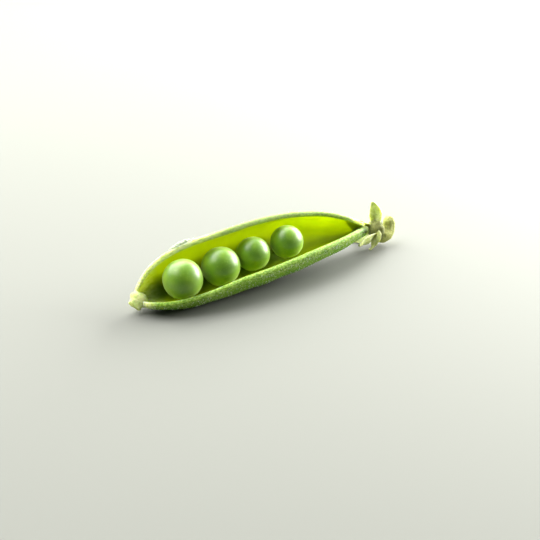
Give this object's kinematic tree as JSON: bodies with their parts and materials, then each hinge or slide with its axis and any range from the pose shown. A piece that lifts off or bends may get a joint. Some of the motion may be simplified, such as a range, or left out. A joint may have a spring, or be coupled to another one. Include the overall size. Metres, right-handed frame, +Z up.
{
  "type": "garden pea pod",
  "caption": "Split-open garden pea pod lying on its side, with round peas in its boat-shaped trough, a blunt beak at the tip, a leafy calyx at the other end and a bent stub of stalk.",
  "frame": {"origin": "the flat spot under the near valve that the pod lies on", "axes": "+X along the pod from its tip to its stalk, +Z up, -Y the side that the open pod faces"},
  "size_m": [0.0846, 0.0169, 0.017],
  "materials": {
    "pod_skin": "fresh green pod wall with a dull waxy bloom outside",
    "pea_skin": "smooth fresh pea skin with a soft waxy sheen",
    "dry_calyx": "withered olive sepals and stalk, dull and ribbed"
  },
  "bodies": {
    "root": {"pod_shell": "pod_skin", "pea_1": "pea_skin", "pea_2": "pea_skin", "pea_3": "pea_skin", "pea_4": "pea_skin", "stalk_calyx": "dry_calyx"}
  },
  "joints": []
}
